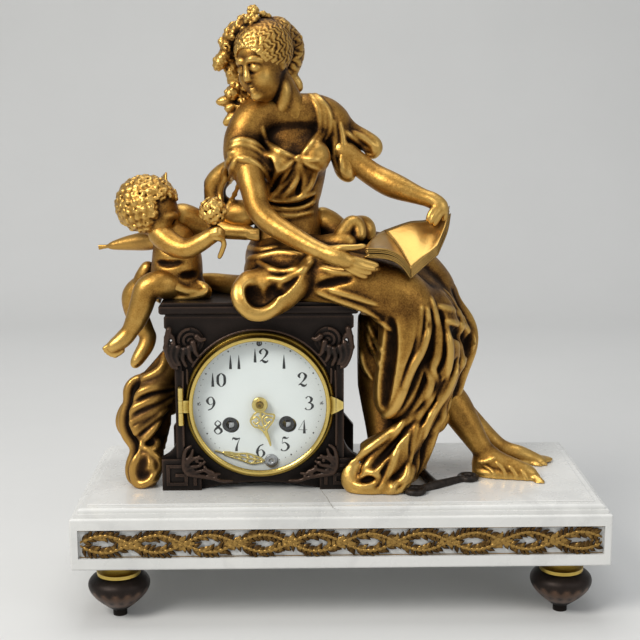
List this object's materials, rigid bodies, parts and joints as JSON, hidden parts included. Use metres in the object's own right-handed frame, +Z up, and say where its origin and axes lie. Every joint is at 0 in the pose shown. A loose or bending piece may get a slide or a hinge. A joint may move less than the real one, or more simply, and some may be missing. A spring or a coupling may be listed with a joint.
{
  "type": "figural mantel clock",
  "caption": "Figural mantel clock: gilt seated reader and winged child on a dark scrolled case with hinged bezel, enamel dial and wheel train, on a white marble base with a laurel frieze.",
  "frame": {"origin": "on the floor under the middle of the marble base", "axes": "+X to the viewer's right, +Y to the back, +Z up; the dial faces -Y"},
  "size_m": [0.372, 0.162, 0.4238],
  "materials": {
    "gilt": "old fire gilding worn to brown in the hollows",
    "dark_bronze": "dark brown patina rubbed lighter on the edges",
    "brass": "turned and lightly tarnished",
    "steel": "plain",
    "marble": "polished white with faint veins and hairline cracks",
    "glass": "clear convex",
    "enamel": "white vitreous enamel with black numerals",
    "bell_metal": "silvered",
    "iron": "dark rust"
  },
  "bodies": {
    "clock": {"back_plate": "brass", "base_bolts": "steel", "base_plinth": "marble", "base_top_slab": "marble", "bell": "bell_metal", "bell_stand": "brass", "bezel_hinge": "brass", "book": "gilt", "case_back": "dark_bronze", "case_front": "dark_bronze", "case_left_side": "dark_bronze", "case_right_side": "dark_bronze", "case_top": "dark_bronze", "cherub_arms": "gilt", "cherub_head": "gilt", "cherub_legs": "gilt", "cherub_torso": "gilt", "cherub_wings": "gilt", "dial": "enamel", "dial_pan": "brass", "feet": "dark_bronze", "foot_collars": "brass", "frieze": "gilt", "front_plate": "brass", "hinge_pins": "steel", "lady_hair": "gilt", "lady_head": "gilt", "lady_left_arm": "gilt", "lady_left_leg": "gilt", "lady_right_arm": "gilt", "lady_right_leg": "gilt", "lady_skirt": "gilt", "lady_torso": "gilt", "minute_hand": "brass", "pillars": "brass", "side_drape": "gilt", "suspension_cock": "brass", "winding_key": "iron"},
    "bezel": {"bezel_ring": "brass", "bezel_glass": "glass"},
    "rear_door": {"back_door": "brass"},
    "centre": {"centre_wheel": "brass"},
    "second": {"second_wheel": "brass"},
    "going_drum": {"going_barrel": "brass", "going_mainspring": "steel"},
    "motion": {"motion_wheel": "brass"},
    "hour": {"hour_wheel": "brass", "hour_hand": "brass"},
    "third": {"third_wheel": "brass"},
    "escape": {"escape_wheel": "brass"},
    "pallet_fork": {"pallets": "steel"},
    "swinging_pendulum": {"pendulum": "brass"},
    "strike_drum": {"strike_barrel": "brass", "strike_mainspring": "steel"},
    "pin": {"pin_wheel": "brass"},
    "governor": {"fly": "brass"},
    "striker": {"hammer": "steel"},
    "going_key_arbor": {"going_winding_arbor": "steel"},
    "strike_key_arbor": {"strike_winding_arbor": "steel"},
    "regulator": {"regulator_arbor": "steel"}
  },
  "joints": [
    {"name": "bezel_swing", "type": "hinge", "parent": "clock", "child": "bezel", "pos_m": [-0.1114, -0.0442, 0.149], "axis": [0, 0, -1], "range_deg": [0, 105]},
    {"name": "back_door_swing", "type": "hinge", "parent": "clock", "child": "rear_door", "pos_m": [-0.006, 0.0532, 0.149], "axis": [0, 0, -1], "range_deg": [0, 100]},
    {"name": "minute_spin", "type": "hinge", "parent": "clock", "child": "centre", "pos_m": [-0.0564, 0, 0.149], "axis": [0, 1, 0], "continuous": true},
    {"name": "second_spin", "type": "hinge", "parent": "clock", "child": "second", "pos_m": [-0.04151, 0, 0.15414], "axis": [0, 1, 0], "continuous": true},
    {"name": "going_barrel_spin", "type": "hinge", "parent": "clock", "child": "going_drum", "pos_m": [-0.0362, 0, 0.1332], "axis": [0, 1, 0], "continuous": true},
    {"name": "motion_spin", "type": "hinge", "parent": "clock", "child": "motion", "pos_m": [-0.0564, 0, 0.1346], "axis": [0, 1, 0], "continuous": true},
    {"name": "hour_spin", "type": "hinge", "parent": "clock", "child": "hour", "pos_m": [-0.0564, 0, 0.149], "axis": [0, 1, 0], "continuous": true},
    {"name": "third_spin", "type": "hinge", "parent": "clock", "child": "third", "pos_m": [-0.06125, 0, 0.16232], "axis": [0, 1, 0], "continuous": true},
    {"name": "escape_spin", "type": "hinge", "parent": "clock", "child": "escape", "pos_m": [-0.0564, 0, 0.17242], "axis": [0, 1, 0], "continuous": true},
    {"name": "pendulum_swing", "type": "hinge", "parent": "clock", "child": "swinging_pendulum", "pos_m": [-0.0564, 0, 0.18542], "axis": [0, 1, 0], "range_deg": [-4, 4]},
    {"name": "pallet_rock", "type": "hinge", "parent": "clock", "child": "pallet_fork", "pos_m": [-0.0564, 0, 0.18542], "axis": [0, 1, 0], "range_deg": [-4, 4]},
    {"name": "pin_wheel_spin", "type": "hinge", "parent": "clock", "child": "pin", "pos_m": [-0.07129, 0, 0.15414], "axis": [0, 1, 0], "continuous": true},
    {"name": "strike_barrel_spin", "type": "hinge", "parent": "clock", "child": "strike_drum", "pos_m": [-0.0766, 0, 0.1332], "axis": [0, 1, 0], "continuous": true},
    {"name": "fly_spin", "type": "hinge", "parent": "clock", "child": "governor", "pos_m": [-0.07759, 0, 0.16505], "axis": [0, 1, 0], "continuous": true},
    {"name": "hammer_swing", "type": "hinge", "parent": "clock", "child": "striker", "pos_m": [-0.0904, 0, 0.157], "axis": [0, 1, 0], "range_deg": [-6, 15], "stiffness_Nm_per_rad": 0.01},
    {"name": "going_wind", "type": "hinge", "parent": "clock", "child": "going_key_arbor", "pos_m": [-0.0362, 0, 0.1332], "axis": [0, 1, 0], "continuous": true},
    {"name": "strike_wind", "type": "hinge", "parent": "clock", "child": "strike_key_arbor", "pos_m": [-0.0766, 0, 0.1332], "axis": [0, 1, 0], "continuous": true},
    {"name": "regulator_turn", "type": "hinge", "parent": "clock", "child": "regulator", "pos_m": [-0.0564, 0, 0.1922], "axis": [0, 1, 0], "continuous": true}
  ],
  "couplings": [
    {"joint": "second_spin", "follows": "minute_spin", "ratio": -0.16667},
    {"joint": "going_barrel_spin", "follows": "minute_spin", "ratio": 0.033333},
    {"joint": "motion_spin", "follows": "minute_spin", "ratio": -0.33333},
    {"joint": "hour_spin", "follows": "minute_spin", "ratio": 0.083333},
    {"joint": "third_spin", "follows": "minute_spin", "ratio": -6},
    {"joint": "escape_spin", "follows": "minute_spin", "ratio": 36},
    {"joint": "pallet_rock", "follows": "pendulum_swing", "ratio": 1},
    {"joint": "strike_barrel_spin", "follows": "pin_wheel_spin", "ratio": -0.2},
    {"joint": "fly_spin", "follows": "pin_wheel_spin", "ratio": -6}
  ]
}
